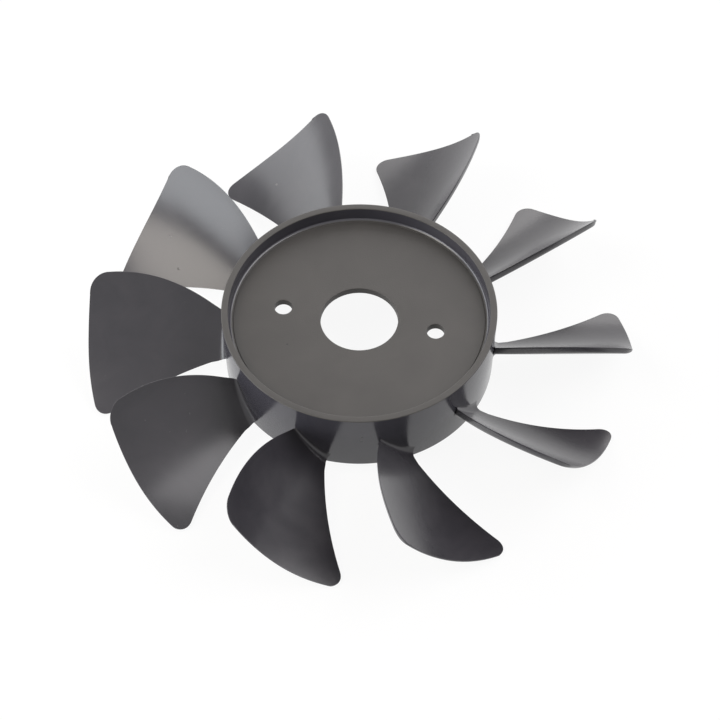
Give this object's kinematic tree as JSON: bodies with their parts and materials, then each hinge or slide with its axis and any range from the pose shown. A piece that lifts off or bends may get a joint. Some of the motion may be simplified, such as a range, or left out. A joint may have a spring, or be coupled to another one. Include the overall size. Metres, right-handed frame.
{
  "type": "transmission cooling fan",
  "caption": "Moulded axial fan wheel: a dished cup hub with a centre bore and bolt holes, and twisted blades; bolts to a pulley to cool a small transmission.",
  "frame": {"origin": "centre of the bore, on the seat face under the dish floor", "axes": "+Z along the axis, out of the dish; +X through the centre of one bolt hole; +Y completes the right hand"},
  "size_m": [0.1788, 0.179, 0.0305],
  "materials": {
    "fan_plastic": "as moulded, semi-matte"
  },
  "bodies": {
    "root": {"fan": "fan_plastic"}
  },
  "joints": []
}
